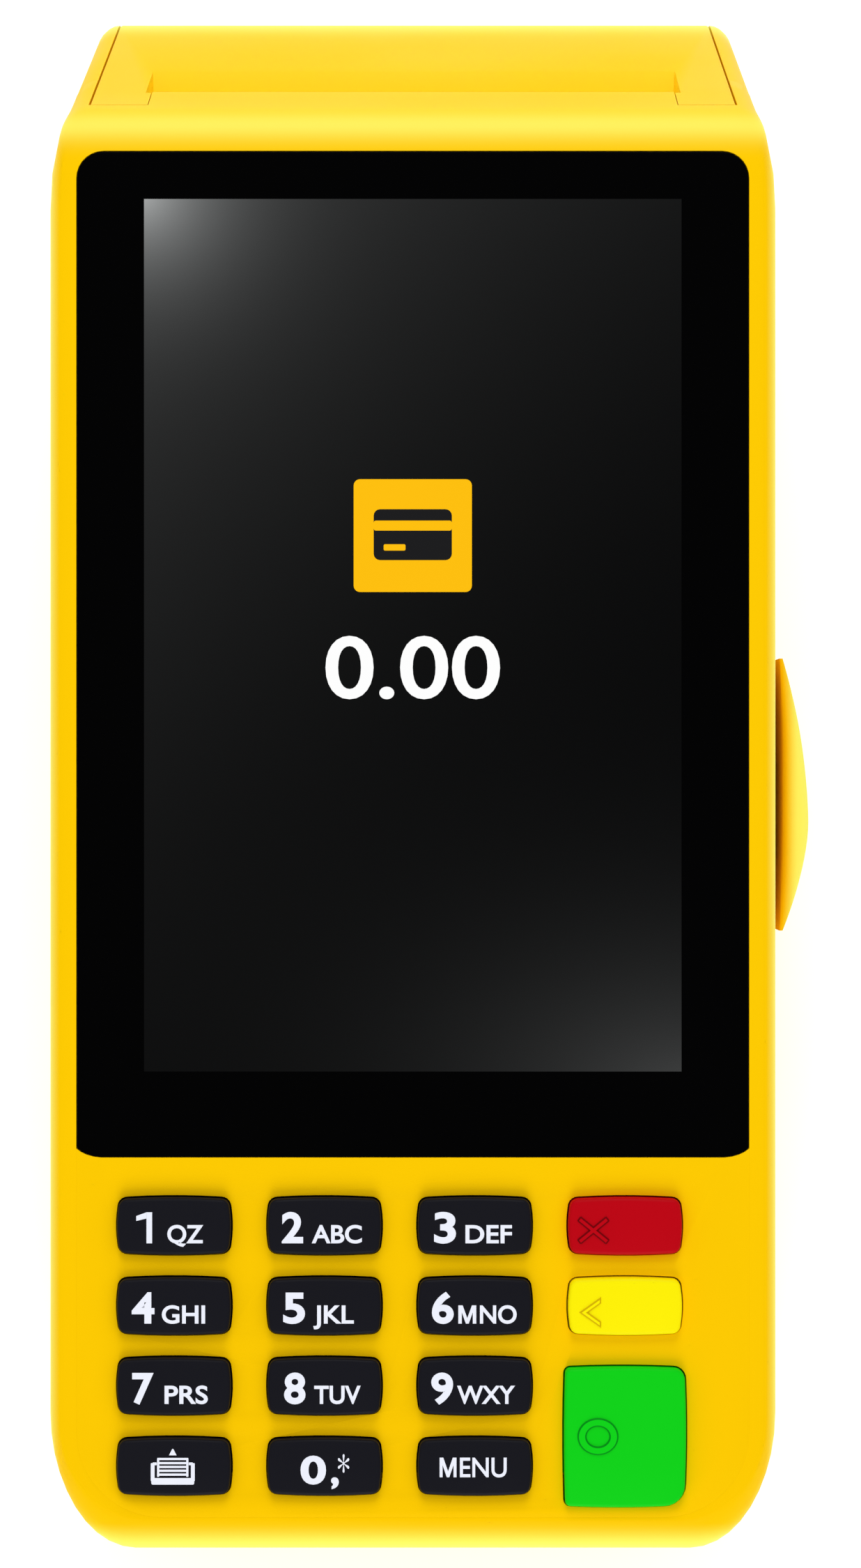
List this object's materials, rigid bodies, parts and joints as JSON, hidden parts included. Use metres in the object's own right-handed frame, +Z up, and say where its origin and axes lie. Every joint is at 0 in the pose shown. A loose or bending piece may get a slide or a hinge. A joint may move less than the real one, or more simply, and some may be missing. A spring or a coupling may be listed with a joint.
{
  "type": "card payment terminal",
  "caption": "Hand-held card payment terminal with a large screen, a rubber keypad, a card swipe slot in the side and a receipt printer under a hinged paper door.",
  "frame": {"origin": "middle of the footprint, on the plane that the rubber feet stand on", "axes": "+Z up, +Y from the keypad end to the printer end, +X to the card slot side"},
  "size_m": [0.0855, 0.183, 0.0549],
  "materials": {
    "yellow_body": "satin moulded, fine grain",
    "black_body": "satin moulded",
    "key_black": "satin silicone-coated, printed legends",
    "key_red": "satin silicone-coated",
    "key_yellow": "satin silicone-coated",
    "key_green": "satin silicone-coated",
    "screen_glass": "polished cover lens, back printed black",
    "screen_module": "bezel frame",
    "gasket_foam": "closed-cell foam",
    "circuit_board": "solder mask",
    "spacer_film": "clear film",
    "bright_steel": "plated sheet",
    "dark_steel": "phosphated sheet",
    "contact_brass": "gold flashed",
    "gear_plastic": "natural acetal",
    "rubber_black": "ground",
    "battery_wrap": "printed sleeve",
    "paper_white": "smooth thermal coating"
  },
  "bodies": {
    "housing": {"front_housing": "yellow_body", "rear_housing": "yellow_body", "keypad_plate": "yellow_body", "display_glass": "screen_glass", "display_gasket": "gasket_foam", "display_module": "screen_module", "contactless_antenna": "circuit_board", "keypad_spacer": "spacer_film", "keypad_board": "circuit_board", "key_domes": "bright_steel", "main_board": "circuit_board", "security_shield": "bright_steel", "radio_module": "bright_steel", "coin_cell": "bright_steel", "charge_port": "bright_steel", "chip_reader": "black_body", "chip_contacts": "contact_brass", "stripe_spring": "bright_steel", "speaker": "black_body", "battery_pack": "battery_wrap", "battery_contacts": "contact_brass", "door_hinge_pin": "bright_steel", "printer_frame": "dark_steel", "thermal_head": "bright_steel", "head_springs": "bright_steel", "printer_motor": "dark_steel", "tear_bar": "bright_steel", "paper_bucket": "black_body", "case_screws": "bright_steel", "board_screws": "bright_steel", "rubber_feet": "rubber_black"},
    "key_1": {"key_1": "key_black"},
    "key_2": {"key_2": "key_black"},
    "key_3": {"key_3": "key_black"},
    "key_4": {"key_4": "key_black"},
    "key_5": {"key_5": "key_black"},
    "key_6": {"key_6": "key_black"},
    "key_7": {"key_7": "key_black"},
    "key_8": {"key_8": "key_black"},
    "key_9": {"key_9": "key_black"},
    "key_0": {"key_0": "key_black"},
    "key_feed": {"key_feed": "key_black"},
    "key_menu": {"key_menu": "key_black"},
    "key_cancel": {"key_cancel": "key_red"},
    "key_clear": {"key_clear": "key_yellow"},
    "key_enter": {"key_enter": "key_green"},
    "power_button": {"power_button": "black_body"},
    "stripe_head": {"stripe_head": "bright_steel"},
    "battery_cover": {"battery_cover": "yellow_body"},
    "paper_door": {"paper_door": "yellow_body", "platen_bushes": "gear_plastic"},
    "platen": {"platen_roller": "rubber_black", "platen_shaft": "bright_steel", "platen_gear": "gear_plastic"},
    "idler_small": {"idler_gear_small": "gear_plastic"},
    "idler_large": {"idler_gear_large": "gear_plastic"},
    "motor_pinion": {"motor_pinion": "contact_brass"},
    "paper_roll": {"paper_roll": "paper_white"}
  },
  "joints": [
    {"name": "key_1_press", "type": "slide", "parent": "housing", "child": "key_1", "axis": [0, 0.1736, -0.9848], "range_m": [0, 0.0009], "stiffness_N_per_m": 900, "springref_m": -0.0003},
    {"name": "key_2_press", "type": "slide", "parent": "housing", "child": "key_2", "axis": [0, 0.1736, -0.9848], "range_m": [0, 0.0009], "stiffness_N_per_m": 900, "springref_m": -0.0003},
    {"name": "key_3_press", "type": "slide", "parent": "housing", "child": "key_3", "axis": [0, 0.1736, -0.9848], "range_m": [0, 0.0009], "stiffness_N_per_m": 900, "springref_m": -0.0003},
    {"name": "key_4_press", "type": "slide", "parent": "housing", "child": "key_4", "axis": [0, 0.1736, -0.9848], "range_m": [0, 0.0009], "stiffness_N_per_m": 900, "springref_m": -0.0003},
    {"name": "key_5_press", "type": "slide", "parent": "housing", "child": "key_5", "axis": [0, 0.1736, -0.9848], "range_m": [0, 0.0009], "stiffness_N_per_m": 900, "springref_m": -0.0003},
    {"name": "key_6_press", "type": "slide", "parent": "housing", "child": "key_6", "axis": [0, 0.1736, -0.9848], "range_m": [0, 0.0009], "stiffness_N_per_m": 900, "springref_m": -0.0003},
    {"name": "key_7_press", "type": "slide", "parent": "housing", "child": "key_7", "axis": [0, 0.1736, -0.9848], "range_m": [0, 0.0009], "stiffness_N_per_m": 900, "springref_m": -0.0003},
    {"name": "key_8_press", "type": "slide", "parent": "housing", "child": "key_8", "axis": [0, 0.1736, -0.9848], "range_m": [0, 0.0009], "stiffness_N_per_m": 900, "springref_m": -0.0003},
    {"name": "key_9_press", "type": "slide", "parent": "housing", "child": "key_9", "axis": [0, 0.1736, -0.9848], "range_m": [0, 0.0009], "stiffness_N_per_m": 900, "springref_m": -0.0003},
    {"name": "key_0_press", "type": "slide", "parent": "housing", "child": "key_0", "axis": [0, 0.1736, -0.9848], "range_m": [0, 0.0009], "stiffness_N_per_m": 900, "springref_m": -0.0003},
    {"name": "key_feed_press", "type": "slide", "parent": "housing", "child": "key_feed", "axis": [0, 0.1736, -0.9848], "range_m": [0, 0.0009], "stiffness_N_per_m": 900, "springref_m": -0.0003},
    {"name": "key_menu_press", "type": "slide", "parent": "housing", "child": "key_menu", "axis": [0, 0.1736, -0.9848], "range_m": [0, 0.0009], "stiffness_N_per_m": 900, "springref_m": -0.0003},
    {"name": "key_cancel_press", "type": "slide", "parent": "housing", "child": "key_cancel", "axis": [0, 0.1736, -0.9848], "range_m": [0, 0.0009], "stiffness_N_per_m": 900, "springref_m": -0.0003},
    {"name": "key_clear_press", "type": "slide", "parent": "housing", "child": "key_clear", "axis": [0, 0.1736, -0.9848], "range_m": [0, 0.0009], "stiffness_N_per_m": 900, "springref_m": -0.0003},
    {"name": "key_enter_press", "type": "slide", "parent": "housing", "child": "key_enter", "axis": [0, 0.1736, -0.9848], "range_m": [0, 0.0009], "stiffness_N_per_m": 900, "springref_m": -0.0003},
    {"name": "power_button_press", "type": "slide", "parent": "housing", "child": "power_button", "axis": [1, 0, 0], "range_m": [0, 0.0006], "stiffness_N_per_m": 1200, "springref_m": -0.0003},
    {"name": "stripe_head_float", "type": "slide", "parent": "housing", "child": "stripe_head", "axis": [-1, 0, 0], "range_m": [0, 0.0007], "stiffness_N_per_m": 800, "springref_m": -0.0004},
    {"name": "battery_cover_lift", "type": "slide", "parent": "housing", "child": "battery_cover", "axis": [0, 0.1736, -0.9848], "range_m": [0, 0.04]},
    {"name": "paper_door_hinge", "type": "hinge", "parent": "housing", "child": "paper_door", "pos_m": [-0.00225, 0.08792, 0.00831], "axis": [-1, 0, 0], "range_deg": [0, 88]},
    {"name": "platen_spin", "type": "hinge", "parent": "paper_door", "child": "platen", "pos_m": [-0.00225, 0.06505, 0.03669], "axis": [1, 0, 0], "continuous": true},
    {"name": "idler_small_spin", "type": "hinge", "parent": "housing", "child": "idler_small", "pos_m": [-0.00225, 0.05414, 0.02926], "axis": [1, 0, 0], "continuous": true},
    {"name": "idler_large_spin", "type": "hinge", "parent": "housing", "child": "idler_large", "pos_m": [-0.00225, 0.03501, 0.03087], "axis": [1, 0, 0], "continuous": true},
    {"name": "motor_pinion_spin", "type": "hinge", "parent": "housing", "child": "motor_pinion", "pos_m": [-0.00225, 0.0222, 0.03746], "axis": [1, 0, 0], "continuous": true},
    {"name": "paper_roll_spin", "type": "hinge", "parent": "housing", "child": "paper_roll", "pos_m": [-0.00225, 0.04534, 0.02187], "axis": [1, 0, 0], "continuous": true}
  ],
  "couplings": [
    {"joint": "idler_small_spin", "follows": "platen_spin", "ratio": -0.57143},
    {"joint": "idler_large_spin", "follows": "platen_spin", "ratio": 0.44444},
    {"joint": "motor_pinion_spin", "follows": "platen_spin", "ratio": -1.3333}
  ]
}
